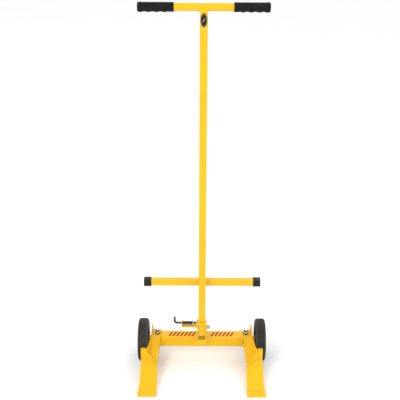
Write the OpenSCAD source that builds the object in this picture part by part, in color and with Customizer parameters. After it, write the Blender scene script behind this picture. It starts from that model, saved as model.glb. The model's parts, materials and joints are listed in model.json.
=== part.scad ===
// Wheeled toe jack: tee handle on a folding post, cross beam, two sloping toe pans.
// Units are millimetres, Z is up, X runs to the right, Y runs from the toes to the operator.
// The floor is Z = 0 and the origin is the middle of the footprint.

/* [Wheels] */
// outer radius of a wheel
wheel_r = 80; // [60:1:110]
// width of a tyre
wheel_w = 38; // [28:1:60]
// distance from the middle of the jack to the middle of a wheel
wheel_x = 221; // [200:1:260]
// radius of the seat between tyre and hub
rim_r = 56; // [40:1:70]
// axle bolt diameter
axle_d = 12; // [8:1:16]

/* [Cross beam] */
// front to back size of the beam
beam_d = 44; // [30:1:60]
// height of the beam
beam_h = 40; // [25:1:60]
// height of the underside of the beam
beam_z = 55; // [40:1:75]
// middle of the beam behind the wheel axle
beam_y = 12; // [-20:1:30]
// half length of the beam
beam_half = 178; // [150:1:200]
// wall of the beam tube
beam_wall = 3; // [2:0.5:6]

/* [Arms] */
// middle of an arm at the beam
arm_x = 172.5; // [150:0.5:200]
// width of an arm
arm_w = 35; // [25:1:50]
// plate thickness of arms and toes
plate_t = 4; // [3:0.5:8]
// outward splay of an arm in degrees
arm_splay = 5.5; // [0:0.5:12]
// height of the pointed ear above the flange
ear_rise = 27; // [10:1:45]
// height of the outer flange above the arm
flange_up = 6; // [3:1:15]

/* [Toes] */
// distance of the toe tip ahead of the wheel axle
toe_front = 240; // [200:1:320]
// distance of the rear upstand ahead of the wheel axle
toe_back = 94; // [92:1:120]
// inner edge of a toe
toe_in = 164; // [140:1:190]
// outer edge of a toe
toe_out = 226; // [200:1:260]
// height of the front lip
lip_h = 21; // [10:1:40]
// extra width of the lip at its outer end
lip_extra = 5; // [0:1:10]
// length over which the outer edge flares out to the lip
flare_len = 48; // [20:1:90]
// where the upstand turns into the slanting end plate
diag_x = 208; // [202:1:214]
// height of the top of the upstand
tab_z = 100; // [80:1:120]
// length of the flange on top of the upstand
tab_len = 12; // [6:1:13]

/* [Handle] */
// side of the square post tube
post_s = 25.4; // [20:0.1:40]
// wall of the post tube
post_wall = 2; // [1.5:0.1:4]
// height of the pivot above the floor
pivot_z = 149; // [146:1:154]
// pivot position behind the axle
pivot_y = -18; // [-30:1:0]
// pivot bolt diameter
pivot_d = 10; // [8:1:12]
// length of the post below the pivot
tail_len = 31; // [26:1:32]
// pivot to the middle of the tee bar
tee_up = 1200; // [900:1:1400]
// backward lean of the post in degrees
lean = 0; // [0:0.5:2]
// tee bar diameter
tee_d = 25.4; // [20:0.1:32]
// half length over the grips
tee_half = 208; // [150:0.5:260]
// grip length
grip_len = 114; // [90:1:140]
// grip diameter
grip_d = 31; // [28:0.5:40]
// side of the square foot bar
foot_s = 22.2; // [18:0.1:30]
// half length of the foot bar over its caps
foot_half = 214; // [150:1:240]
// pivot to the middle of the foot bar
foot_up = 185; // [150:1:300]

/* [Latch] */
// lock pin diameter
pin_d = 8; // [6:0.5:10]
// lock pin above the pivot along the post
pin_up = 22; // [21.5:0.5:24]
// lock pin ahead of the pivot across the post
pin_fwd = 4; // [0:0.5:6]
// outer diameter of the latch spring
spring_od = 14; // [12:0.5:18]
// spring wire diameter
spring_wire = 1.8; // [1:0.1:2.5]
// number of spring turns
spring_turns = 8; // [4:1:10]
// length of the bent end of the pin
hook_len = 25; // [15:1:40]
// distance of the housing's outer end from the middle
house_reach = 76.5; // [70:0.5:90]
// distance of the bent end of the pin from the middle
hook_reach = 101.5; // [95:0.5:120]

/* [Hidden] */
fine = 72;
mid = 48;
small = 32;
gap = 0.1;
fit = 0.05;
yellow = [0.97, 0.78, 0.06];
steel = [0.62, 0.63, 0.65];
black = [0.09, 0.09, 0.09];
grey = [0.26, 0.25, 0.24];
shift_y = (toe_front - wheel_r) / 2;
beam_top = beam_z + beam_h;
beam_front = beam_y - beam_d / 2;
web_top = beam_top + plate_t;

// arms: reach in front of and behind the middle of the beam
arm_front = 150;
arm_rear = 26;
arm_end = beam_y + arm_rear;
flange_top = web_top + flange_up;
flange_low = beam_z + 6;
flange_rear_x = 188.5;
flange_tyre_x = 200.6;
flange_turn_y = -76;
ear_back = 12;
ear_foot = 34;
inner_up = 3;
inner_deep = 24;

// wheels and axles
wheel_in = wheel_x - wheel_w / 2;
hub_out = wheel_in + 27;
boss_in = 187;
boss_out = wheel_in - 1;
boss_d = 30;
axle_head_t = 6.5;
axle_head_af = 18;
axle_nut_t = 8.2;
axle_nut_af = 19;
bush_d = 16;
hub_web_in = 9;
hub_web_out = 15;
hub_holes = 5;

// toes
pan_low = plate_t;
pan_slope = (web_top - pan_low) / (toe_front - plate_t + beam_front);
pan_rise = pan_low + pan_slope * (toe_front - toe_back - 2 * plate_t);
pan_drop = plate_t * sqrt(1 + pan_slope * pan_slope);
lip_out = toe_out + lip_extra;
diag_y = -toe_back;
diag_dx = diag_x - toe_in;
diag_dy = 31;
diag_len = sqrt(diag_dx * diag_dx + diag_dy * diag_dy);
diag_a = atan2(diag_dy, diag_dx);
plate_end = diag_len - 0.6;

// handle bracket
ear_t = 4;
bracket_in = post_s / 2 + 0.8;
bracket_out = bracket_in + ear_t;
bracket_f = pivot_y - post_s / 2 - 5.3;
bracket_back = 30;
bracket_half = bracket_in + 1;
bracket_floor = 6;
bracket_lip = 13;
bracket_top = pivot_z + 30;
strap_t = 4;
strap_h = 11;
strap_z = bracket_top - strap_h;

// fasteners
bolt_x = 168;
bolt_d = 10;
bolt_hole = bolt_d + 0.4;
bolt_af = 16;
bolt_head = 6.4;
bolt_over = 22;
washer_d = 20;
washer_t = 2;
nut_af = 17;
nut_t = 9;
nut_ring_d = 14.5;
nut_ring_t = 13;
pivot_head_d = 13;
pivot_head_t = 4;
pivot_nut_af = 15;
pivot_washer_t = 1.8;
pivot_nut_t = 7.4;
pivot_ring_d = 12.6;
pivot_ring_t = 10;

// latch
pin_y = pivot_y - pin_fwd * cos(lean) + pin_up * sin(lean);
pin_z = pivot_z + pin_fwd * sin(lean) + pin_up * cos(lean);
pin_tip = -14;
hook_x = -hook_reach;
hook_r = 9;
house_out = -house_reach;
house_in = -bracket_out;
house_t = 3;
house_half = 9;
house_drop = 15.3;
house_rise = 12;
collar_x = -34.5;
collar_t = 3;
collar_d = 15;
roll_d = 3;
roll_x = collar_x + collar_t + 1.6;
roll_len = 14;
spring_in = collar_x - 0.2;
spring_out = house_out + house_t + 0.2;
spring_r = (spring_od - spring_wire) / 2;

// handle
sleeve_d = 14;
beam_plug = 16;
post_plug = 12;
tube_t = 2;
cap_len = 27;
cap_end = 2.4;
cap_wall = 1.8;
vent_r = 3;
grip_end = 3.8;
badge_w = 22;
badge_h = 44;
badge_t = 1.2;
badge_down = 38;

// places a piece in the floor frame
module placed() {
  translate([0, shift_y, 0])
    children();
}

// places a piece in the frame of the leaning post, origin at the pivot
module on_post() {
  translate([0, shift_y + pivot_y, pivot_z])
    rotate([-lean, 0, 0])
      children();
}

// left pieces are mirrored right pieces
module both() {
  children();
  mirror([1, 0, 0])
    children();
}

// solid cylinder along X starting at x
module rod_x(x, len, d, n) {
  translate([x, 0, 0])
    rotate([0, 90, 0])
      cylinder(h = len, d = d, $fn = n);
}

// hexagonal prism along X made from three crossed slabs
module hex_x(x, len, af) {
  translate([x, 0, 0])
    rotate([0, 90, 0])
      hex_z(len, af);
}

// hexagonal prism along Z
module hex_z(len, af) {
  side = af / sqrt(3);
  linear_extrude(height = len)
    polygon([
      [side, 0], [side / 2, af / 2], [-side / 2, af / 2],
      [-side, 0], [-side / 2, -af / 2], [side / 2, -af / 2]
    ]);
}

// flat washer along X
module ring_x(x, len, od, id) {
  difference() {
    rod_x(x, len, od, mid);
    rod_x(x - 1, len + 2, id, mid);
  }
}

// ---- cross beam ----
module cross_beam() {
  color(yellow)
    placed()
      difference() {
        translate([-beam_half, beam_front, beam_z])
          cube([2 * beam_half, beam_d, beam_h]);
        translate([-beam_half - 1, beam_front + beam_wall, beam_z + beam_wall])
          cube([2 * beam_half + 2, beam_d - 2 * beam_wall, beam_h - 2 * beam_wall]);
        both()
          translate([bolt_x, beam_y, beam_z - 1])
            cylinder(h = beam_h + 2, d = bolt_hole, $fn = small);
      }
}

module beam_end_plugs() {
  color(black)
    placed()
      both()
        difference() {
          translate([beam_half - beam_plug, beam_front + beam_wall + gap, beam_z + beam_wall + gap])
            cube([beam_plug, beam_d - 2 * (beam_wall + gap), beam_h - 2 * (beam_wall + gap)]);
          translate([bolt_x, beam_y, beam_z])
            cylinder(h = beam_h, d = bolt_hole, $fn = small);
        }
}

// ---- arms ----
// right arm: bent plate saddled over the beam end, cut off behind the toe
module arm_shape() {
  difference() {
    union() {
      difference() {
        union() {
          translate([arm_x, beam_y, 0])
            rotate([0, 0, arm_splay])
              arm_plates();
          outer_flange();
        }
        arm_cuts();
      }
      translate([0, 0, wheel_r])
        rod_x(boss_in, boss_out - boss_in, boss_d, mid);
    }
    translate([0, 0, wheel_r])
      rod_x(boss_in - 8, boss_out - boss_in + 16, axle_d + 2 * gap, mid);
    translate([boss_in - 9, -axle_head_af + 4, wheel_r - 12])
      cube([9, 2 * axle_head_af - 8, 24]);
    translate([bolt_x, beam_y, beam_top - 1])
      cylinder(h = plate_t + 2, d = bolt_hole, $fn = small);
  }
}

// height of the arm's upper surface, y measured from the middle of the beam
function arm_top(y) = web_top + min(0, pan_slope * (y + beam_d / 2));

// web and inner flange
module arm_plates() {
  bend = -beam_d / 2;
  low = -arm_front;
  translate([-arm_w / 2, 0, 0])
    rotate([90, 0, 90])
      linear_extrude(height = arm_w)
        polygon([
          [low, arm_top(low)], [bend, web_top], [arm_rear, web_top],
          [arm_rear, beam_top], [bend, beam_top], [low, arm_top(low) - pan_drop]
        ]);
  translate([-arm_w / 2, 0, 0])
    rotate([90, 0, 90])
      linear_extrude(height = plate_t)
        polygon([
          [low, arm_top(low) + inner_up], [bend - 0.4, web_top + inner_up],
          [bend - 0.4, beam_z + 8], [low, arm_top(low) - inner_deep]
        ]);
}

// outer flange with the pointed ear: runs beside the tyre and turns out in front of it
module outer_flange() {
  intersection() {
    linear_extrude(height = flange_top + ear_rise + 1)
      polygon([
        [flange_rear_x, arm_end], [flange_tyre_x, flange_turn_y], [diag_x, -toe_back],
        [diag_x - plate_t, -toe_back], [flange_tyre_x - plate_t, flange_turn_y],
        [flange_rear_x - plate_t, arm_end]
      ]);
    translate([flange_rear_x - plate_t - 1, 0, 0])
      rotate([90, 0, 90])
        linear_extrude(height = diag_x - flange_rear_x + plate_t + 2)
          polygon([
            [-toe_back - 1, pan_rise - inner_deep], [beam_front - 30, flange_low], [arm_end + 1, flange_low],
            [arm_end + 1, flange_top], [arm_end - ear_back, flange_top + ear_rise],
            [arm_end - ear_back - 4, flange_top + ear_rise - 2], [arm_end - ear_foot, flange_top],
            [-toe_back - 1, tab_z]
          ]);
  }
}

// everything in front of the toe upstand
module arm_cuts() {
  translate([diag_x, diag_y, 0])
    rotate([0, 0, 180 + diag_a])
      translate([-200, 0, -1])
        cube([400, 200, beam_top + 60]);
  translate([diag_x - 20, -400, -1])
    cube([60, 400 - toe_back, beam_top + 60]);
}

module arm_left() {
  color(yellow)
    placed()
      mirror([1, 0, 0])
        arm_shape();
}

module arm_right() {
  color(yellow)
    placed()
      arm_shape();
}

// ---- toes ----
// right toe: sloping pan, front lip, rear upstand with flange and slanting end plate
module toe_shape() {
  difference() {
    translate([toe_in, 0, 0])
      rotate([90, 0, 90])
        linear_extrude(height = lip_out - toe_in)
          pan_profile();
    toe_trim();
    translate([diag_x, diag_y, 0])
      rotate([0, 0, 180 + diag_a])
        translate([0, -200, -1])
          cube([200, 200, 300]);
    translate([toe_in - 1, -toe_back, -1])
      cube([diag_x - toe_in + 1, tab_len + 1, tab_z + 2]);
  }
  toe_end_plate();
}

// cut outside the toe: its outer edge flares out to the lip
module toe_trim() {
  translate([0, 0, -1])
    linear_extrude(height = tab_z + 2)
      polygon([
        [lip_out, -toe_front + 8], [toe_out, -toe_front + flare_len],
        [toe_out, -toe_back + tab_len + 1], [lip_out + 1, -toe_back + tab_len + 1],
        [lip_out + 1, -toe_front + 8]
      ]);
}

module pan_profile() {
  polygon([
    [-toe_front, 0],
    [-toe_front + plate_t - pan_drop * 0.25, 0],
    [-toe_back, pan_rise + pan_slope * plate_t - pan_drop],
    [-toe_back, tab_z - plate_t],
    [-toe_back + tab_len, tab_z - plate_t],
    [-toe_back + tab_len, tab_z],
    [-toe_back - plate_t, tab_z],
    [-toe_back - plate_t, pan_rise],
    [-toe_front + plate_t, pan_low],
    [-toe_front + plate_t, lip_h],
    [-toe_front, lip_h]
  ]);
}

module toe_end_plate() {
  translate([diag_x, diag_y, 0])
    rotate([0, 0, 180 + diag_a])
      rotate([90, 0, 0])
        translate([0, 0, -plate_t])
          linear_extrude(height = plate_t)
            polygon([
              [0, pan_rise - 8], [plate_end, pan_rise - inner_deep],
              [plate_end, pan_rise - diag_dy * pan_slope + 4], [0, tab_z]
            ]);
}

module toe_left() {
  color(yellow)
    placed()
      mirror([1, 0, 0])
        toe_shape();
}

module toe_right() {
  color(yellow)
    placed()
      toe_shape();
}

// ---- handle bracket ----
module handle_bracket() {
  color(yellow)
    placed()
      difference() {
        union() {
          both()
            bracket_ear();
          translate([-bracket_half, bracket_f, beam_top])
            cube([2 * bracket_half, bracket_back - bracket_f, bracket_floor]);
          translate([-bracket_half, bracket_f, beam_top - bracket_lip])
            cube([2 * bracket_half, strap_t, bracket_lip + bracket_floor]);
          translate([-bracket_half, bracket_f, strap_z])
            cube([2 * bracket_half, strap_t, strap_h]);
        }
        translate([0, pivot_y, pivot_z])
          rod_x(-30, 60, pivot_d + 2 * gap, small);
        translate([0, pin_y, pin_z])
          rod_x(-30, 30, pin_d + 2 * gap, small);
      }
}

// side plate, widest at the beam, with clipped corners at the top
module bracket_ear() {
  translate([bracket_in, 0, 0])
    rotate([90, 0, 90])
      linear_extrude(height = ear_t)
        polygon([
          [bracket_f, beam_top], [bracket_back, beam_top], [bracket_back, beam_top + 12],
          [8, beam_top + 37], [4, bracket_top - 14], [0, bracket_top - 6],
          [-4, bracket_top - 2], [-9, bracket_top], [bracket_f + 4, bracket_top],
          [bracket_f, bracket_top - 4]
        ]);
}

// ---- arm fasteners ----
module arm_bolts() {
  color(steel)
    placed()
      both()
        translate([bolt_x, beam_y, 0]) {
          translate([0, 0, beam_z - bolt_head])
            hex_z(bolt_head, bolt_af);
          translate([0, 0, beam_z - 1])
            cylinder(h = beam_h + bolt_over, d = bolt_d, $fn = small);
        }
}

module arm_washers() {
  color(steel)
    placed()
      both()
        translate([bolt_x, beam_y, web_top])
          difference() {
            cylinder(h = washer_t, d = washer_d, $fn = mid);
            translate([0, 0, -1])
              cylinder(h = washer_t + 2, d = bolt_d + 2 * gap, $fn = small);
          }
}

module arm_nuts() {
  color(steel)
    placed()
      both()
        translate([bolt_x, beam_y, web_top + washer_t])
          difference() {
            union() {
              hex_z(nut_t, nut_af);
              cylinder(h = nut_ring_t, d = nut_ring_d, $fn = small);
            }
            translate([0, 0, -1])
              cylinder(h = nut_ring_t + 3, d = bolt_d + 2 * gap, $fn = small);
          }
}

// ---- axles ----
module axle_bolts() {
  color(steel)
    placed()
      both()
        translate([0, 0, wheel_r]) {
          hex_x(boss_in - axle_head_t, axle_head_t, axle_head_af);
          rod_x(boss_in - 1, hub_out + axle_nut_t + 4 - boss_in, axle_d, mid);
        }
}

module axle_washers() {
  color(steel)
    placed()
      both()
        translate([0, 0, wheel_r])
          ring_x(hub_out + 0.3, washer_t, 24, axle_d + 2 * gap);
}

module axle_nuts() {
  color(steel)
    placed()
      both()
        translate([0, 0, wheel_r])
          difference() {
            hex_x(hub_out + washer_t + 0.3, axle_nut_t, axle_nut_af);
            rod_x(hub_out + 1, axle_nut_t + 4, axle_d + 2 * gap, mid);
          }
}

// ---- pivot ----
module pivot_bolt() {
  color(steel)
    placed()
      translate([0, pivot_y, pivot_z]) {
        rod_x(-bracket_out - pivot_head_t, pivot_head_t, pivot_head_d, mid);
        rod_x(-bracket_out - 1, 2 * bracket_out + pivot_ring_t + 3, pivot_d, mid);
      }
}

module pivot_washer() {
  color(steel)
    placed()
      translate([0, pivot_y, pivot_z])
        ring_x(bracket_out, pivot_washer_t, washer_d, pivot_d + 2 * gap);
}

module pivot_nut() {
  color(steel)
    placed()
      translate([0, pivot_y, pivot_z])
        difference() {
          union() {
            hex_x(bracket_out + pivot_washer_t, pivot_nut_t, pivot_nut_af);
            rod_x(bracket_out + pivot_washer_t, pivot_ring_t, pivot_ring_d, small);
          }
          rod_x(bracket_out, pivot_ring_t + 4, pivot_d + 2 * gap, mid);
        }
}

// ---- latch ----
module latch_housing() {
  color(yellow)
    placed()
      translate([0, pin_y, pin_z])
        difference() {
          union() {
            translate([house_out, -house_half, -house_drop])
              cube([house_in - house_out, 2 * house_half, house_t]);
            latch_tab(house_out);
            latch_tab(house_in - house_t);
          }
          rod_x(house_out - 1, -house_out, pin_d + 2 * gap, small);
        }
}

module latch_tab(x) {
  translate([x, 0, 0])
    rotate([90, 0, 90])
      linear_extrude(height = house_t)
        polygon([
          [-house_half, -house_drop], [house_half, -house_drop], [house_half, 5],
          [4, house_rise], [-4, house_rise], [-house_half, 5]
        ]);
}

module latch_pin() {
  color(grey)
    placed()
      translate([0, pin_y, pin_z]) {
        difference() {
          rod_x(hook_x + hook_r, pin_tip - hook_x - hook_r, pin_d, small);
          translate([roll_x, 0, -pin_d])
            cylinder(h = 2 * pin_d, d = roll_d + 2 * gap, $fn = small);
        }
        translate([hook_x + hook_r, 0, hook_r])
          rotate([90, 0, 0])
            rotate([0, 0, 180])
              rotate_extrude(angle = 90, $fn = 64)
                translate([hook_r, 0])
                  circle(d = pin_d, $fn = small);
        translate([hook_x, 0, hook_r])
          cylinder(h = hook_len - hook_r, d = pin_d, $fn = small);
      }
}

module latch_collar() {
  color(steel)
    placed()
      translate([0, pin_y, pin_z])
        ring_x(collar_x, collar_t, collar_d, pin_d + 2 * fit);
}

module latch_roll_pin() {
  color(steel)
    placed()
      translate([roll_x, pin_y, pin_z - roll_len / 2])
        cylinder(h = roll_len, d = roll_d, $fn = small);
}

// spring drawn as stacked rings, one for each turn
module latch_spring() {
  pitch = (spring_in - spring_out - spring_wire) / (spring_turns - 1);
  color(steel)
    placed()
      translate([0, pin_y, pin_z])
        for (i = [0:1:spring_turns - 1])
          translate([spring_out + spring_wire / 2 + i * pitch, 0, 0])
            rotate([0, 90, 0])
              rotate_extrude($fn = small)
                translate([spring_r, 0])
                  circle(d = spring_wire, $fn = 16);
}

// ---- handle ----
module handle_post() {
  color(yellow)
    on_post()
      difference() {
        translate([-post_s / 2, -post_s / 2, -tail_len])
          cube([post_s, post_s, tee_up + tail_len]);
        translate([-post_s / 2 + post_wall, -post_s / 2 + post_wall, -tail_len - 1])
          cube([post_s - 2 * post_wall, post_s - 2 * post_wall, tee_up + tail_len + 2]);
        rod_x(-30, 60, sleeve_d, mid);
        translate([0, -pin_fwd, pin_up])
          rod_x(-30, 30, pin_d + 2 * gap, small);
        translate([0, 0, tee_up])
          rod_x(-30, 60, tee_d + 2 * gap, fine);
      }
}

module post_end_plug() {
  color(black)
    on_post()
      translate([-post_s / 2 + post_wall + gap, -post_s / 2 + post_wall + gap, -tail_len])
        cube([post_s - 2 * (post_wall + gap), post_s - 2 * (post_wall + gap), post_plug]);
}

module pivot_sleeve() {
  color(steel)
    on_post()
      ring_x(-post_s / 2 - 0.3, post_s + 0.6, sleeve_d - 2 * gap, pivot_d + 2 * fit);
}

module tee_bar() {
  color(yellow)
    on_post()
      translate([0, 0, tee_up])
        difference() {
          rod_x(-tee_half + 4, 2 * tee_half - 8, tee_d, fine);
          rod_x(-tee_half, 2 * tee_half, tee_d - 2 * tube_t, fine);
        }
}

// right grip, closed at its outer end with a small vent hole
module grip_shape() {
  start = tee_half - grip_len;
  rotate([0, 90, 0])
    rotate_extrude($fn = fine)
      polygon([
        [tee_d / 2 + gap, start], [grip_d / 2 - 0.5, start], [grip_d / 2, start + 1],
        [grip_d / 2, tee_half - 12], [grip_d / 2 + 0.8, tee_half - 9],
        [grip_d / 2 + 0.8, tee_half - 4], [grip_d / 2 - 0.6, tee_half - 1.2], [grip_d / 2 - 4, tee_half],
        [vent_r, tee_half], [vent_r, tee_half - grip_end], [tee_d / 2 + gap, tee_half - grip_end]
      ]);
}

module grip_left() {
  color(black)
    on_post()
      translate([0, 0, tee_up])
        mirror([1, 0, 0])
          grip_shape();
}

module grip_right() {
  color(black)
    on_post()
      translate([0, 0, tee_up])
        grip_shape();
}

module foot_bar() {
  inner = foot_s - 2 * tube_t;
  color(yellow)
    on_post()
      translate([0, post_s / 2 + foot_s / 2, foot_up])
        difference() {
          translate([-foot_half + 2.5, -foot_s / 2, -foot_s / 2])
            cube([2 * foot_half - 5, foot_s, foot_s]);
          translate([-foot_half, -inner / 2, -inner / 2])
            cube([2 * foot_half, inner, inner]);
        }
}

module foot_cap_shape() {
  hole = foot_s + 2 * gap;
  cap = foot_s + 2 * cap_wall;
  difference() {
    translate([foot_half - cap_len, -cap / 2, -cap / 2])
      cube([cap_len, cap, cap]);
    translate([foot_half - cap_len - 1, -hole / 2, -hole / 2])
      cube([cap_len - cap_end + 1, hole, hole]);
  }
}

module foot_cap_left() {
  color(black)
    on_post()
      translate([0, post_s / 2 + foot_s / 2, foot_up])
        mirror([1, 0, 0])
          foot_cap_shape();
}

module foot_cap_right() {
  color(black)
    on_post()
      translate([0, post_s / 2 + foot_s / 2, foot_up])
        foot_cap_shape();
}

// plain oval plate on the front of the post
module post_badge() {
  spread = (badge_h - badge_w) / 2;
  color(black)
    on_post()
      translate([0, -post_s / 2, tee_up - badge_down])
        rotate([90, 0, 0])
          linear_extrude(height = badge_t)
            union() {
              translate([0, spread, 0])
                circle(d = badge_w, $fn = mid);
              translate([0, -spread, 0])
                circle(d = badge_w, $fn = mid);
              translate([-badge_w / 2, -spread])
                square([badge_w, 2 * spread]);
            }
}

// ---- wheels ----
module tyre_shape() {
  half = wheel_w / 2;
  translate([wheel_x, 0, wheel_r])
    rotate([0, 90, 0])
      rotate_extrude($fn = fine)
        polygon([
          [rim_r, -half], [wheel_r - 9, -half], [wheel_r - 5, -half + 1.2],
          [wheel_r - 1.8, -half + 4], [wheel_r, -half + 8],
          [wheel_r, -7], [wheel_r - 1.4, -6.4], [wheel_r - 1.4, -5.2], [wheel_r, -4.6],
          [wheel_r, 4.6], [wheel_r - 1.4, 5.2], [wheel_r - 1.4, 6.4], [wheel_r, 7],
          [wheel_r, half - 8], [wheel_r - 1.8, half - 4], [wheel_r - 5, half - 1.2],
          [wheel_r - 9, half], [rim_r, half]
        ]);
}

module hub_shape() {
  half = wheel_w / 2;
  bore = bush_d / 2 + gap;
  translate([0, 0, wheel_r])
    difference() {
      translate([wheel_x, 0, 0])
        rotate([0, 90, 0])
          rotate_extrude($fn = fine)
            polygon([
              [bore, -half + 0.4], [17, -half + 0.4],
              [17, -half + hub_web_in], [rim_r - 6, -half + hub_web_in],
              [rim_r - 6, -half + 1], [rim_r - gap, -half + 1], [rim_r - gap, half - 1],
              [rim_r - 6, half - 1], [rim_r - 6, -half + hub_web_out], [19, -half + hub_web_out],
              [17, hub_out - wheel_x - 0.4], [bore, hub_out - wheel_x - 0.4]
            ]);
      for (i = [0:1:hub_holes - 1])
        rotate([360 / hub_holes * i, 0, 0])
          translate([wheel_in, 0, 33])
            rod_x(0, 30, 18, small);
    }
}

module bush_shape() {
  translate([0, 0, wheel_r])
    ring_x(wheel_in + 0.2, hub_out - wheel_in - 0.4, bush_d, axle_d + 2 * fit);
}

module tyre_left() {
  color(grey)
    placed()
      mirror([1, 0, 0])
        tyre_shape();
}

module tyre_right() {
  color(grey)
    placed()
      tyre_shape();
}

module hub_left() {
  color(black)
    placed()
      mirror([1, 0, 0])
        hub_shape();
}

module hub_right() {
  color(black)
    placed()
      hub_shape();
}

module hub_bush_left() {
  color(steel)
    placed()
      mirror([1, 0, 0])
        bush_shape();
}

module hub_bush_right() {
  color(steel)
    placed()
      bush_shape();
}

cross_beam();
beam_end_plugs();
arm_left();
arm_right();
toe_left();
toe_right();
handle_bracket();
arm_bolts();
arm_washers();
arm_nuts();
axle_bolts();
axle_washers();
axle_nuts();
pivot_bolt();
pivot_washer();
pivot_nut();
latch_housing();
latch_pin();
latch_collar();
latch_roll_pin();
latch_spring();
handle_post();
post_end_plug();
pivot_sleeve();
tee_bar();
grip_left();
grip_right();
foot_bar();
foot_cap_left();
foot_cap_right();
post_badge();
tyre_left();
hub_left();
hub_bush_left();
tyre_right();
hub_right();
hub_bush_right();
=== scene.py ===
# Visual model of the wheeled toe jack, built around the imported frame. Metres, Z up.
import json
import math

import bmesh
import bpy
from mathutils import Matrix, Vector


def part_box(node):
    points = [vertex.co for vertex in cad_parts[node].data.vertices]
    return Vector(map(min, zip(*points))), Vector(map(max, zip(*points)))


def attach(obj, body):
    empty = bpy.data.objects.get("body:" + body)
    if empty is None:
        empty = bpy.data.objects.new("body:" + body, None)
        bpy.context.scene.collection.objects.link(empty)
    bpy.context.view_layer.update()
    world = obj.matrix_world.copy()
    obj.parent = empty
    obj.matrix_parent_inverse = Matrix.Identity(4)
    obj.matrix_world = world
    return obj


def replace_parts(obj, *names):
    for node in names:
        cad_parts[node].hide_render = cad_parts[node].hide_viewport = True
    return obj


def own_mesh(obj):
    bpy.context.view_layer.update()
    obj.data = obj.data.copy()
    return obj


MM = 0.001
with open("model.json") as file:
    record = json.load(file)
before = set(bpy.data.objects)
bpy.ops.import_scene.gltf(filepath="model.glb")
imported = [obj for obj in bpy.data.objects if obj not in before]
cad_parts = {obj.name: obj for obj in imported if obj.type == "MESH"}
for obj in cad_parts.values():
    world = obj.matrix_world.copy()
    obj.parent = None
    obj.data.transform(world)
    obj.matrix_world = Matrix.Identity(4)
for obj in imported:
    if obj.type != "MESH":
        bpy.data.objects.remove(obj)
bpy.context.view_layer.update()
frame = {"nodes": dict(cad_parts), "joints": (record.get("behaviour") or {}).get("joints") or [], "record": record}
NODES = frame["nodes"]
BODY_OF = {n: b for b, names in frame["record"]["behaviour"]["bodies"].items() for n in names}
JOINT = {j["name"]: j for j in frame["joints"]}
_, AXLE_Y, AXLE_Z = JOINT["wheel_right_spin"]["pos_m"]


# ---------------------------------------------------------------- node helpers
class Mat:
    """A material with short calls for the nodes used here."""

    def __init__(self, name, color, rough, metal=0.0, coat=0.0, specular=0.5):
        self.mat = bpy.data.materials.new(name)
        self.mat.use_nodes = True
        self.tree = self.mat.node_tree
        self.shader = self.tree.nodes["Principled BSDF"]
        self.set("Base Color", (*color, 1))
        self.set("Roughness", rough)
        self.set("Metallic", metal)
        self.set("Coat Weight", coat)
        self.set("Coat Roughness", 0.15)
        self.set("Specular IOR Level", specular)
        self.coord = self.tree.nodes.new("ShaderNodeTexCoord").outputs["Object"]

    def set(self, socket, value):
        self.shader.inputs[socket].default_value = value

    def link(self, a, b):
        self.tree.links.new(a, b)

    def noise(self, scale, detail=3.0, stretch=(1, 1, 1), rough=0.55):
        mapping = self.tree.nodes.new("ShaderNodeMapping")
        mapping.inputs["Scale"].default_value = stretch
        self.link(self.coord, mapping.inputs["Vector"])
        node = self.tree.nodes.new("ShaderNodeTexNoise")
        node.inputs["Scale"].default_value = scale
        node.inputs["Detail"].default_value = detail
        node.inputs["Roughness"].default_value = rough
        self.link(mapping.outputs["Vector"], node.inputs["Vector"])
        return node.outputs["Fac"]

    def ramp(self, fac, stops):
        node = self.tree.nodes.new("ShaderNodeValToRGB")
        ramp = node.color_ramp
        while len(ramp.elements) < len(stops):
            ramp.elements.new(0.5)
        for element, (pos, color) in zip(ramp.elements, stops):
            element.position = pos
            element.color = (*color, 1)
        self.link(fac, node.inputs["Fac"])
        return node.outputs["Color"]

    def mix(self, fac, a, b):
        node = self.tree.nodes.new("ShaderNodeMix")
        node.data_type = "RGBA"
        for socket, value in ((node.inputs["A"], a), (node.inputs["B"], b)):
            if isinstance(value, tuple):
                socket.default_value = (*value, 1)
            else:
                self.link(value, socket)
        self.link(fac, node.inputs["Factor"])
        return node.outputs["Result"]

    def scale(self, fac, low, high):
        node = self.tree.nodes.new("ShaderNodeMapRange")
        node.inputs["To Min"].default_value = low
        node.inputs["To Max"].default_value = high
        self.link(fac, node.inputs["Value"])
        return node.outputs["Result"]

    def multiply(self, a, b):
        node = self.tree.nodes.new("ShaderNodeMath")
        node.operation = "MULTIPLY"
        self.link(a, node.inputs[0])
        self.link(b, node.inputs[1])
        return node.outputs["Value"]

    def edges(self, radius, low, high):
        """1 on convex and concave edges, from the bevel normal against the true one."""
        bevel = self.tree.nodes.new("ShaderNodeBevel")
        bevel.samples = 4
        bevel.inputs["Radius"].default_value = radius
        geometry = self.tree.nodes.new("ShaderNodeNewGeometry")
        dot = self.tree.nodes.new("ShaderNodeVectorMath")
        dot.operation = "DOT_PRODUCT"
        self.link(bevel.outputs["Normal"], dot.inputs[0])
        self.link(geometry.outputs["Normal"], dot.inputs[1])
        node = self.tree.nodes.new("ShaderNodeMapRange")
        node.inputs["From Min"].default_value = high
        node.inputs["From Max"].default_value = low
        self.link(dot.outputs["Value"], node.inputs["Value"])
        return node.outputs["Result"]

    def bump(self, height, strength, distance):
        node = self.tree.nodes.new("ShaderNodeBump")
        node.inputs["Strength"].default_value = strength
        node.inputs["Distance"].default_value = distance
        self.link(height, node.inputs["Height"])
        self.link(node.outputs["Normal"], self.shader.inputs["Normal"])

    def to(self, value, socket):
        self.link(value, self.shader.inputs[socket])


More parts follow.
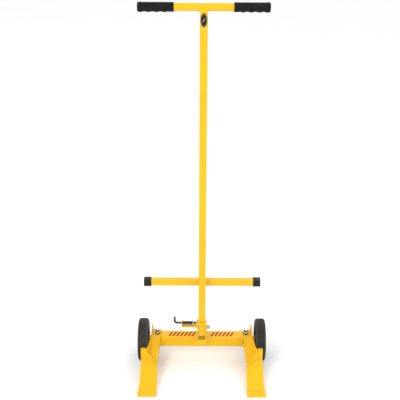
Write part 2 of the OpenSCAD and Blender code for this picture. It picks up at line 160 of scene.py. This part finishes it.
# ---------------------------------------------------------------- materials
def yellow_paint(name="yellow_paint", scuffed=0.25):
    """Powder coat: slight mottling, orange peel, dulled patches and thin worn edges."""
    m = Mat(name, (0.84, 0.50, 0.004), 0.40, coat=0.10, specular=0.25)
    mottle = m.noise(5, 4)
    base = m.ramp(mottle, [(0.3, (0.80, 0.455, 0.003)), (0.7, (0.86, 0.52, 0.005))])
    dust = m.ramp(m.noise(38, 6, rough=0.7), [(0.62, (0, 0, 0)), (0.82, (0.25, 0.25, 0.25))])
    base = m.mix(dust, base, (0.62, 0.42, 0.05))
    wear = m.multiply(m.edges(0.0012, 0.80, 0.97), m.scale(m.noise(55, 5, rough=0.75), -0.9, 1.6))
    wear = m.multiply(wear, m.ramp(m.noise(9, 3), [(0.45, (0, 0, 0)), (0.62, (scuffed,) * 3)]))
    m.to(m.mix(wear, base, (0.16, 0.10, 0.05)), "Base Color")
    m.to(m.scale(m.noise(16, 5), 0.32, 0.52), "Roughness")
    m.bump(m.noise(420, 2), 0.10, 0.0004)
    return m.mat


def zinc_steel():
    """Bright zinc: cool mottled grey with fine drawn scratches."""
    m = Mat("zinc_steel", (0.62, 0.63, 0.65), 0.32, metal=1.0)
    m.to(m.ramp(m.noise(60, 4), [(0.3, (0.44, 0.45, 0.46)), (0.7, (0.72, 0.73, 0.75))]), "Base Color")
    m.to(m.scale(m.noise(120, 4, (1, 1, 6)), 0.22, 0.48), "Roughness")
    m.bump(m.noise(900, 3, (1, 1, 5)), 0.12, 0.0002)
    return m.mat


def dark_steel():
    """Dark oiled rod with pale rubbed streaks along it."""
    m = Mat("dark_steel", (0.12, 0.12, 0.125), 0.38, metal=0.85)
    streak = m.ramp(m.noise(70, 5, (0.25, 1, 1)), [(0.45, (0.05, 0.05, 0.052)), (0.8, (0.30, 0.30, 0.31))])
    m.to(streak, "Base Color")
    m.to(m.scale(m.noise(150, 4), 0.28, 0.55), "Roughness")
    m.bump(m.noise(600, 3, (0.3, 1, 1)), 0.15, 0.0003)
    return m.mat


def grip_rubber():
    """Matt black moulded rubber with a fine pebbled skin."""
    m = Mat("grip_rubber", (0.008, 0.008, 0.009), 0.6, specular=0.15)
    m.to(m.ramp(m.noise(40, 4), [(0.3, (0.005, 0.005, 0.006)), (0.8, (0.014, 0.013, 0.013))]), "Base Color")
    m.to(m.scale(m.noise(90, 4), 0.5, 0.75), "Roughness")
    m.bump(m.noise(1500, 2), 0.22, 0.0003)
    return m.mat


def tyre_rubber():
    """Dark grey solid rubber, dusty in patches, with faint mould grain."""
    m = Mat("tyre_rubber", (0.045, 0.042, 0.040), 0.72, specular=0.3)
    base = m.ramp(m.noise(26, 5), [(0.3, (0.032, 0.030, 0.029)), (0.8, (0.066, 0.062, 0.058))])
    dust = m.ramp(m.noise(9, 6, rough=0.7), [(0.5, (0, 0, 0)), (0.8, (0.30, 0.30, 0.30))])
    m.to(m.mix(dust, base, (0.13, 0.115, 0.095)), "Base Color")
    m.to(m.scale(m.noise(70, 4), 0.62, 0.85), "Roughness")
    m.bump(m.noise(800, 3), 0.20, 0.0004)
    return m.mat


def black_plastic(name="black_plastic", low=0.36, high=0.55):
    """Moulded black plastic with a fine spark-eroded grain and pale scuffs."""
    m = Mat(name, (0.014, 0.013, 0.012), 0.45, specular=0.25)
    base = m.ramp(m.noise(30, 4), [(0.3, (0.009, 0.008, 0.008)), (0.8, (0.022, 0.020, 0.018))])
    scuff = m.ramp(m.noise(48, 6, (1, 1, 3), 0.75), [(0.66, (0, 0, 0)), (0.84, (0.35, 0.35, 0.35))])
    m.to(m.mix(scuff, base, (0.09, 0.085, 0.08)), "Base Color")
    m.to(m.scale(m.noise(80, 4), low, high), "Roughness")
    m.bump(m.noise(1300, 2), 0.15, 0.0002)
    return m.mat


def red_print():
    """Screen-printed crimson ink, slightly broken up by the paint below."""
    m = Mat("red_print", (0.36, 0.010, 0.012), 0.5, specular=0.2)
    broken = m.noise(160, 5, rough=0.7)
    m.to(m.ramp(broken, [(0.28, (0.55, 0.14, 0.01)), (0.42, (0.34, 0.008, 0.012))]), "Base Color")
    m.to(m.scale(m.noise(70, 3), 0.35, 0.55), "Roughness")
    return m.mat


def pale_gold():
    """Worn brass colour for the plate's rim and bar."""
    m = Mat("pale_gold", (0.70, 0.52, 0.22), 0.34, metal=0.7)
    m.to(m.ramp(m.noise(120, 3), [(0.3, (0.58, 0.42, 0.16)), (0.7, (0.80, 0.62, 0.30))]), "Base Color")
    m.to(m.scale(m.noise(200, 3), 0.28, 0.45), "Roughness")
    return m.mat


def nylon_ring():
    """Blue-black nylon of the locking rings."""
    m = Mat("nylon_ring", (0.10, 0.11, 0.13), 0.5)
    m.to(m.ramp(m.noise(150, 3), [(0.3, (0.05, 0.055, 0.07)), (0.7, (0.14, 0.15, 0.18))]), "Base Color")
    m.to(m.scale(m.noise(90, 3), 0.40, 0.6), "Roughness")
    return m.mat


def floor_paper():
    """White backdrop paper, very slightly uneven."""
    m = Mat("floor_paper", (0.97, 0.97, 0.97), 0.8, specular=0.2)
    m.to(m.ramp(m.noise(3, 2), [(0.3, (0.965, 0.97, 0.98)), (0.7, (0.975, 0.98, 0.99))]), "Base Color")
    return m.mat


PAINT = yellow_paint()
TOE_PAINT = yellow_paint("toe_paint", scuffed=0.8)
ZINC = zinc_steel()
DARK = dark_steel()
GRIP = grip_rubber()
TYRE = tyre_rubber()
PLASTIC = black_plastic()
GLOSS = black_plastic("gloss_black", 0.14, 0.26)
RED = red_print()
GOLD = pale_gold()
NYLON = nylon_ring()
FINISH = {"paint": PAINT, "zinc": ZINC, "dark_rod": DARK, "grip": GRIP, "cap": PLASTIC,
          "tyre": TYRE, "hub": PLASTIC, "badge": GLOSS}
SLOT_OF = {s["node"]: s["material_slot"] for s in frame["record"]["subparts"]}


# ---------------------------------------------------------------- mesh helpers
def new_piece(name, bm, mat, body, smooth=35.0):
    """Makes a piece from bm, shades it smooth up to an angle and rides it on a body."""
    bmesh.ops.recalc_face_normals(bm, faces=bm.faces)
    mesh = bpy.data.meshes.new(name)
    bm.to_mesh(mesh)
    bm.free()
    obj = bpy.data.objects.new(name, mesh)
    bpy.context.scene.collection.objects.link(obj)
    mesh.materials.append(mat)
    shade(obj, smooth)
    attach(obj, body)
    return obj


def shade(obj, angle):
    """Shades obj smooth, with edges sharper than angle left sharp."""
    mesh = obj.data
    mesh.polygons.foreach_set("use_smooth", [True] * len(mesh.polygons))
    mesh.set_sharp_from_angle(angle=math.radians(angle))


def rounded_copy(node, width, segments, angle=28.0):
    """A mesh copy of a CAD node with every edge sharper than angle rounded."""
    bm = bmesh.new()
    bm.from_mesh(NODES[node].data)
    bmesh.ops.remove_doubles(bm, verts=bm.verts, dist=2e-6)
    bmesh.ops.dissolve_limit(bm, angle_limit=math.radians(0.6), verts=bm.verts, edges=bm.edges)
    sharp = [e for e in bm.edges if len(e.link_faces) == 2
             and e.calc_face_angle(0) > math.radians(angle)]
    bmesh.ops.bevel(bm, geom=sharp, offset=width, offset_type="OFFSET", segments=segments,
                    profile=0.6, affect="EDGES", clamp_overlap=True)
    return bm


def softened(node, width, mat, segments=3):
    """Stands in for a CAD node: the same shape with its edges rounded like rolled or cut steel."""
    bm = rounded_copy(node, width, segments)
    bmesh.ops.triangulate(bm, faces=[f for f in bm.faces if len(f.verts) > 4])
    piece = new_piece(node + "_soft", bm, mat, BODY_OF[node], smooth=32)
    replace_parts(piece, node)
    return piece


def lathe(name, profile, origin, axis, steps, mat, body, smooth=35.0, closed=True):
    """Turns a closed outline of (along, radius) about an axis through origin."""
    axis = Vector(axis).normalized()
    side = axis.orthogonal().normalized()
    other = axis.cross(side)
    bm = bmesh.new()
    rings = []
    for k in range(steps):
        a = 2 * math.pi * k / steps
        out = side * math.cos(a) + other * math.sin(a)
        rings.append([bm.verts.new(Vector(origin) + axis * u + out * r) for u, r in profile])
    count = len(profile)
    last = count if closed else count - 1
    for k in range(steps):
        here, there = rings[k], rings[(k + 1) % steps]
        for i in range(last):
            j = (i + 1) % count
            bm.faces.new((here[i], here[j], there[j], there[i]))
    return new_piece(name, bm, mat, body, smooth)


def tube_along(bm, points, radius, sides=10, closed=False, ripple=None):
    """Sweeps a round section along points; ripple scales the radius at each point."""
    count = len(points)
    rings = []
    for i, point in enumerate(points):
        back = points[i - 1] if (i or closed) else point
        ahead = points[(i + 1) % count] if (i < count - 1 or closed) else point
        along = (ahead - back).normalized()
        side = along.orthogonal() if i == 0 else side - along * side.dot(along)
        side.normalize()
        up = along.cross(side)
        r = radius * (ripple(i) if ripple else 1)
        rings.append([bm.verts.new(point + (side * math.cos(a) + up * math.sin(a)) * r)
                      for a in (2 * math.pi * k / sides for k in range(sides))])
    for i in range(count if closed else count - 1):
        a, b = rings[i], rings[(i + 1) % count]
        for k in range(sides):
            bm.faces.new((a[k], a[(k + 1) % sides], b[(k + 1) % sides], b[k]))
    if not closed:
        bm.faces.new(rings[0])
        bm.faces.new(rings[-1])


def weld(name, corners, radius, body, closed=False):
    """A rippled weld bead through the corner points."""
    corners = [Vector(c) for c in corners]
    step = 0.45 * radius
    points = []
    pairs = list(zip(corners, corners[1:] + ([corners[0]] if closed else [])))
    for a, b in pairs[:len(corners) if closed else len(corners) - 1]:
        n = max(2, int((b - a).length / step))
        points += [a.lerp(b, k / n) for k in range(n)]
    if not closed:
        points.append(corners[-1])
    ends = 0 if closed else 3

    def ripple(i):
        edge = min(1, (min(i, len(points) - 1 - i) + 1) / ends) if ends else 1
        return (0.86 + 0.16 * abs(math.sin(i * 0.9)) + 0.05 * math.sin(i * 0.37)) * edge

    bm = bmesh.new()
    tube_along(bm, points, radius, 10, closed, ripple)
    return new_piece(name, bm, PAINT, body, 60)


def box_mesh(bm, low, high):
    made = bmesh.ops.create_cube(bm, size=1.0)["verts"]
    low, high = Vector(low), Vector(high)
    for v in made:
        v.co = Vector([low[i] + (v.co[i] + 0.5) * (high[i] - low[i]) for i in range(3)])
    return made


# ---------------------------------------------------------------- frame pieces
# node: (edge radius in metres, segments)
EDGE = {
    "cross_beam": (0.0030, 4), "handle_post": (0.0024, 4), "foot_bar": (0.0024, 4),
    "arm_left": (0.0009, 3), "arm_right": (0.0009, 3), "toe_left": (0.0010, 3),
    "toe_right": (0.0010, 3), "handle_bracket": (0.0009, 3), "latch_housing": (0.0006, 3),
    "arm_bolts": (0.0005, 2), "arm_nuts": (0.0006, 2), "arm_washers": (0.0003, 2),
    "axle_bolts": (0.0005, 2), "axle_nuts": (0.0006, 2), "axle_washers": (0.0003, 2),
    "pivot_bolt": (0.0006, 2), "pivot_nut": (0.0006, 2), "pivot_washer": (0.0003, 2),
    "hub_left": (0.0007, 2), "hub_right": (0.0007, 2),
}


def finish_of(node):
    """The material of a node: its slot's, apart from the toes, and the arm washers, which get the dark steel as
    painted shade at the foot of the arm nuts.
    """
    if node.startswith("toe"):
        return TOE_PAINT
    # painted shade: the arm washers are zinc, but they take the dark steel so that the foot of each arm nut reads
    # as shade
    if node == "arm_washers":
        return DARK
    return FINISH[SLOT_OF[node]]


def frame_pieces():
    for node, obj in NODES.items():
        obj.data.materials.clear()
        obj.data.materials.append(FINISH[SLOT_OF[node]])
    for node, (width, segments) in EDGE.items():
        softened(node, width, finish_of(node), segments)


frame_pieces()


# ---------------------------------------------------------------- wheels
def ribbed_tyre(node, body):
    """Solid tyre with fine ribs round its tread, a shoulder bead and a ring on each side wall."""
    low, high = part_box(node)
    mid_x = (low.x + high.x) / 2
    half = (high.x - low.x) / 2
    radius = (high.z - low.z) / 2
    bore = 56 * MM
    ribs = 11
    rib_depth = 1.5 * MM
    crown_drop = 0.5 * MM
    flat = half - 7 * MM
    side = [(-half, bore), (-half, bore + 3 * MM), (-half + 1.2 * MM, bore + 3.6 * MM),
            (-half + 1.2 * MM, bore + 6 * MM), (-half, bore + 6.6 * MM), (-half, radius - 9 * MM),
            (-half + 1.0 * MM, radius - 5.5 * MM), (-half + 3.2 * MM, radius - 2.4 * MM),
            (-half + 5.4 * MM, radius - 0.9 * MM)]
    pitch = 2 * flat / ribs
    tread = []
    for k in range(ribs):
        start = -flat + k * pitch
        top = radius - crown_drop * (abs(start + pitch / 2) / flat) ** 2
        tread += [(start + 0.14 * pitch, top - rib_depth), (start + 0.24 * pitch, top),
                  (start + 0.76 * pitch, top), (start + 0.86 * pitch, top - rib_depth)]
    profile = side + tread + [(-u, r) for u, r in reversed(side)]
    center = (mid_x, AXLE_Y, radius)
    piece = lathe(node + "_ribbed", profile, center, (1, 0, 0), 128, TYRE, body, 28)
    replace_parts(piece, node)
    mould_nibs(node, body, center)


def mould_nibs(node, body, center):
    """Short moulded bars round both side walls."""
    count = 36
    half_deep, half_wide = 0.5 * MM, 0.8 * MM
    inner, outer = 62.5 * MM, 70 * MM
    out = 18.55 * MM
    bm = bmesh.new()
    for side in (-1, 1):
        for k in range(count):
            made = box_mesh(bm, (-half_deep, -half_wide, inner), (half_deep, half_wide, outer))
            turn = Matrix.Rotation(2 * math.pi * k / count, 4, "X")
            spot = Matrix.Translation(Vector(center) + Vector((side * out, 0, 0)))
            bmesh.ops.transform(bm, matrix=spot @ turn, verts=made)
    new_piece(node + "_nibs", bm, TYRE, body)


# ---------------------------------------------------------------- grips
GRIP_R = 15.0 * MM
GRIP_END_R = 15.9 * MM
GRIP_ROUND = 6 * MM
GRIP_WAVE = 1.1 * MM
GRIP_WAVE_PITCH = 25 * MM
GRIP_WAVE_START = 10 * MM
GRIP_WAVE_REACH = 97.5 * MM
GRIP_RIB = 0.22 * MM
GRIP_RIB_PITCH = 2.6 * MM
GRIP_BORE = 12.9 * MM
GRIP_VENT = 3 * MM
GRIP_END_T = 3.6 * MM


def grip_radius(along, length, angle):
    """Radius of a grip, along measured from its inner end and angle from straight up."""
    from_end = length - along
    if from_end < GRIP_ROUND:
        k = 1 - from_end / GRIP_ROUND
        return GRIP_END_R - 4.6 * MM * (1 - math.sqrt(max(0, 1 - k * k)))
    under = max(0, -math.cos(angle)) ** 1.5
    wave = 0
    if from_end <= GRIP_WAVE_REACH:
        wave = GRIP_WAVE * math.cos((from_end - GRIP_WAVE_START) / GRIP_WAVE_PITCH * 2 * math.pi)
    rib = GRIP_RIB * (0.5 + 0.5 * math.cos(along / GRIP_RIB_PITCH * 2 * math.pi))
    mouth = 0.6 * MM * max(0, 1 - along / (1.2 * MM))
    bead = 0.5 * MM * max(0, 1 - abs(from_end - 9 * MM) / (5 * MM))
    return GRIP_R + rib + bead - mouth + wave * under


def shaped_grip(node, body):
    """Moulded grip: finger waves below, fine ribs and a rounded blind end with a vent hole."""
    low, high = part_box(node)
    sign = 1 if high.x > 0 else -1
    inner, outer = (low.x, high.x) if sign > 0 else (high.x, low.x)
    length = abs(outer - inner)
    center = Vector((0, (low.y + high.y) / 2, (low.z + high.z) / 2))
    steps, sides = 150, 64
    bm = bmesh.new()

    def ring(x, radius_at):
        angles = (2 * math.pi * k / sides for k in range(sides))
        return [bm.verts.new(center + Vector((x, math.sin(a) * radius_at(a), math.cos(a) * radius_at(a))))
                for a in angles]

    rings = []
    for i in range(steps + 1):
        t = length * i / steps
        rings.append(ring(inner + sign * t, lambda a: grip_radius(t, length, a)))
    inside = outer - sign * GRIP_END_T
    for x, r in ((outer, GRIP_VENT), (inside, GRIP_VENT), (inside, GRIP_BORE), (inner, GRIP_BORE)):
        rings.append(ring(x, lambda a: r))
    for i in range(len(rings)):
        a, b = rings[i], rings[(i + 1) % len(rings)]
        for k in range(sides):
            bm.faces.new((a[k], a[(k + 1) % sides], b[(k + 1) % sides], b[k]))
    piece = new_piece(node + "_moulded", bm, GRIP, body, 40)
    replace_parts(piece, node)


# ---------------------------------------------------------------- foot bar caps and plate on the post
def ribbed_cap(node, body):
    """Slip-on cap: softened box with three raised bands near its mouth."""
    bm = rounded_copy(node, 1.6 * MM, 4)
    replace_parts(new_piece(node + "_soft", bm, PLASTIC, body, 32), node)
    low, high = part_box(node)
    sign = 1 if high.x > 0 else -1
    mouth = low.x if sign > 0 else high.x
    first, pitch, bands = 4 * MM, 5 * MM, 3
    inset = 1.2 * MM
    corners = [(low.y + inset, low.z), (high.y - inset, low.z),
               (high.y, low.z + inset), (high.y, high.z - inset),
               (high.y - inset, high.z), (low.y + inset, high.z),
               (low.y, high.z - inset), (low.y, low.z + inset)]
    bm = bmesh.new()
    for k in range(bands):
        x = mouth + sign * (first + pitch * k)
        tube_along(bm, [Vector((x, y, z)) for y, z in corners], 0.5 * MM, 8, closed=True)
    new_piece(node + "_ribs", bm, PLASTIC, body, 60)


def oval_plate():
    """Plain black oval plate with a raised pale rim and a small plain bar."""
    low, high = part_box("post_badge")
    center = (low + high) / 2
    wide, tall = (high.x - low.x) / 2, (high.z - low.z) / 2
    steps = 64

    def oval(scale, y):
        return [Vector((center.x + math.cos(a) * wide * scale, y, center.z + math.sin(a) * tall * scale))
                for a in (2 * math.pi * k / steps for k in range(steps))]

    bm = bmesh.new()
    rings = [[bm.verts.new(p) for p in oval(scale, y)] for scale, y in
             ((1.0, high.y), (1.0, low.y + 0.4 * MM), (0.96, low.y), (0.5, low.y - 0.25 * MM))]
    for a, b in zip(rings, rings[1:]):
        for k in range(steps):
            bm.faces.new((a[k], a[(k + 1) % steps], b[(k + 1) % steps], b[k]))
    bm.faces.new(rings[0])
    bm.faces.new(rings[-1])
    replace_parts(new_piece("post_badge_oval", bm, GLOSS, "handle", 40), "post_badge")
    bm = bmesh.new()
    tube_along(bm, oval(0.86, low.y - 0.05 * MM), 0.45 * MM, 8, closed=True)
    new_piece("post_badge_rim", bm, GOLD, "handle", 60)
    bm = bmesh.new()
    bar = [center + Vector((x * MM, low.y - center.y - 0.2 * MM, z * MM)) for x, z in ((-3, -5), (3, 5))]
    tube_along(bm, bar, 1.1 * MM, 10)
    new_piece("post_badge_bar", bm, GOLD, "handle", 60)


# ---------------------------------------------------------------- latch spring and nut inserts
def coil_spring():
    """Real helix with one closed turn at each end, in place of the stacked rings."""
    low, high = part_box("latch_spring")
    y, z = (low.y + high.y) / 2, (low.z + high.z) / 2
    wire = 0.9 * MM
    radius = (high.z - low.z) / 2 - wire
    turns, per_turn = 13, 28
    closed_pitch = 1.9 * wire
    span = (high.x - low.x) - 2 * wire - 2 * closed_pitch
    points = []
    for i in range(turns * per_turn + 1):
        n = i / per_turn
        share = min(max((n - 1) / (turns - 2), 0), 1)
        closed = min(n, 1) + max(0, n - turns + 1)
        x = low.x + wire + closed * closed_pitch + share * span
        a = 2 * math.pi * n
        points.append(Vector((x, y + radius * math.sin(a), z + radius * math.cos(a))))
    bm = bmesh.new()
    tube_along(bm, points, wire, 10)
    piece = new_piece("latch_spring_coil", bm, DARK, "frame", 60)
    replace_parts(piece, "latch_spring")
    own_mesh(piece)


def nylon_inserts():
    """Dark locking rings on top of the arm nuts and on the pivot nut."""
    low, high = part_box("arm_nuts")
    across = 17 * MM
    for sign, side in ((-1, "left"), (1, "right")):
        x = sign * (max(abs(low.x), abs(high.x)) - across / math.sqrt(3))
        at = (x, (low.y + high.y) / 2, high.z)
        profile = [(-3.2 * MM, 5.4 * MM), (0.3 * MM, 5.4 * MM), (0.5 * MM, 5.8 * MM), (0.5 * MM, 6.8 * MM),
                   (-0.4 * MM, 7.5 * MM), (-3.2 * MM, 7.5 * MM)]
        lathe("arm_nut_ring_" + side, profile, at, (0, 0, 1), 48, NYLON, "frame", 40)
    low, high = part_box("pivot_nut")
    at = (high.x, (low.y + high.y) / 2, (low.z + high.z) / 2)
    profile = [(-2.2 * MM, 5.2 * MM), (0.2 * MM, 5.2 * MM), (0.2 * MM, 6.1 * MM), (-0.8 * MM, 6.6 * MM),
               (-2.2 * MM, 6.6 * MM)]
    lathe("pivot_nut_ring", profile, at, (1, 0, 0), 48, NYLON, "frame", 40)


# ---------------------------------------------------------------- weld beads
def welds():
    post_lo, post_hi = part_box("handle_post")
    foot_lo, foot_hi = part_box("foot_bar")
    bead = 2.0 * MM
    for tag, z in (("top", foot_hi.z), ("bottom", foot_lo.z)):
        weld("weld_foot_bar_" + tag, [(post_lo.x + 3 * MM, post_hi.y, z), (post_hi.x - 3 * MM, post_hi.y, z)],
             bead, "handle")
    for tag, x in (("left", post_lo.x), ("right", post_hi.x)):
        weld("weld_foot_bar_" + tag, [(x, post_hi.y, foot_lo.z + 3 * MM), (x, post_hi.y, foot_hi.z - 3 * MM)],
             bead, "handle")
    tee_lo, tee_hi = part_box("tee_bar")
    radius = (tee_hi.z - tee_lo.z) / 2
    axis_y, axis_z = (tee_lo.y + tee_hi.y) / 2, (tee_lo.z + tee_hi.z) / 2
    for tag, x in (("left", post_lo.x), ("right", post_hi.x)):
        arc = [(x, axis_y + radius * math.sin(a), axis_z - radius * math.cos(a))
               for a in (math.radians(-88 + 11 * k) for k in range(17))]
        weld("weld_tee_" + tag, arc, 1.8 * MM, "handle")
    for tag, y in (("front", post_lo.y), ("back", post_hi.y)):
        weld("weld_tee_" + tag, [(post_lo.x, y, axis_z - 1 * MM), (post_hi.x, y, axis_z - 1 * MM)],
             1.8 * MM, "handle")
    ear_lo, ear_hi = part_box("handle_bracket")
    beam_lo, beam_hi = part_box("cross_beam")
    for tag, x in (("left", ear_lo.x), ("right", ear_hi.x)):
        weld("weld_bracket_" + tag, [(x, beam_lo.y + 2 * MM, beam_hi.z), (x, ear_hi.y - 1 * MM, beam_hi.z)],
             2.2 * MM, "frame")
    weld("weld_bracket_back", [(ear_lo.x, ear_hi.y, beam_hi.z), (ear_hi.x, ear_hi.y, beam_hi.z)],
         2.2 * MM, "frame")
    house_lo, house_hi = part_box("latch_housing")
    house_z = house_lo.z + 1 * MM
    weld("weld_housing", [(house_hi.x, house_lo.y, house_z), (house_hi.x, house_hi.y, house_z)],
         1.2 * MM, "frame")
    boss_x, boss_r, steps = 191.5 * MM, 15.4 * MM, 24
    for sign, side in ((-1, "left"), (1, "right")):
        ring = [(sign * boss_x, AXLE_Y + boss_r * math.cos(a), AXLE_Z + boss_r * math.sin(a))
                for a in (2 * math.pi * k / steps for k in range(steps))]
        weld("weld_boss_" + side, ring, 1.6 * MM, "frame", closed=True)


# ---------------------------------------------------------------- print on the beam
def slanted_bars():
    """Two rows of plain slanting red bars on the beam's upper face."""
    low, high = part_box("cross_beam")
    margin, lean, wide, pitch = 9 * MM, 12 * MM, 7.5 * MM, 14.5 * MM
    front, back = low.y + margin, high.y - margin
    under, over = high.z + 0.01 * MM, high.z + 0.15 * MM
    rows = ((-128 * MM, 7), (32 * MM, 6))
    bm = bmesh.new()
    for start, count in rows:
        for k in range(count):
            x = start + k * pitch
            corners = [(x, front), (x + wide, front), (x + wide + lean, back), (x + lean, back)]
            lower = [bm.verts.new((cx, cy, under)) for cx, cy in corners]
            upper = [bm.verts.new((cx, cy, over)) for cx, cy in corners]
            bm.faces.new(lower)
            bm.faces.new(upper)
            for i in range(4):
                j = (i + 1) % 4
                bm.faces.new((lower[i], lower[j], upper[j], upper[i]))
    new_piece("beam_stripes", bm, RED, "frame")


ribbed_tyre("tyre_left", "wheel_left")
ribbed_tyre("tyre_right", "wheel_right")
for grip in ("grip_left", "grip_right"):
    shaped_grip(grip, "handle")
for cap in ("foot_cap_left", "foot_cap_right"):
    ribbed_cap(cap, "handle")
oval_plate()
coil_spring()
nylon_inserts()
welds()
slanted_bars()


# ---------------------------------------------------------------- camera, light, floor
# millimetres from the point on the floor under the middle of the axle, and radians
CAMERA_AT = (-9.3, -2548.8, 1917.7)
CAMERA_PITCH = 0.45464
CAMERA_ROLL = 0.0050
CAMERA_YAW = 0.0001
FOCAL_PX = 810.9
FRAME_PX = 400
SENSOR_MM = 36.0


def camera():
    """The camera of the front view, as current camera of the scene."""
    data = bpy.data.cameras.new("camera")
    data.sensor_width = SENSOR_MM
    data.lens = FOCAL_PX / FRAME_PX * SENSOR_MM
    data.clip_end = 50
    cam = bpy.data.objects.new("camera", data)
    turn = Matrix.Rotation(CAMERA_YAW, 4, "Z")
    spot = turn @ Vector(CAMERA_AT) * MM + Vector((0, AXLE_Y, 0))
    aim = turn @ Matrix.Rotation(math.pi / 2 - CAMERA_PITCH, 4, "X") @ Matrix.Rotation(CAMERA_ROLL, 4, "Z")
    cam.matrix_world = Matrix.Translation(spot) @ aim
    bpy.context.scene.collection.objects.link(cam)
    bpy.context.scene.camera = cam


def area_light(name, spot, target, size, power):
    """A round lamp at spot that faces target."""
    data = bpy.data.lights.new(name, "AREA")
    data.shape = "DISK"
    data.size = size
    data.energy = power
    lamp = bpy.data.objects.new(name, data)
    lamp.location = spot
    lamp.rotation_euler = (Vector(target) - Vector(spot)).to_track_quat("-Z", "Y").to_euler()
    bpy.context.scene.collection.objects.link(lamp)


def studio():
    """White surroundings, three soft lamps and a white floor, with colours shown as they are."""
    bpy.context.scene.view_settings.view_transform = "Standard"
    world = bpy.data.worlds.new("studio")
    world.use_nodes = True
    background = world.node_tree.nodes["Background"]
    background.inputs["Color"].default_value = (1.0, 1.0, 1.0, 1)
    background.inputs["Strength"].default_value = 1.0
    bpy.context.scene.world = world
    middle = (0, 0, 0.5)
    area_light("key", (-1.8, -2.4, 3.2), middle, 1.4, 42)
    area_light("fill", (2.6, -1.8, 2.0), middle, 2.4, 12)
    area_light("back", (0.8, 2.6, 2.8), middle, 2.0, 14)
    bm = bmesh.new()
    bmesh.ops.create_grid(bm, x_segments=1, y_segments=1, size=12)
    mesh = bpy.data.meshes.new("floor")
    bm.to_mesh(mesh)
    bm.free()
    floor = bpy.data.objects.new("floor", mesh)
    mesh.materials.append(floor_paper())
    bpy.context.scene.collection.objects.link(floor)


camera()
studio()
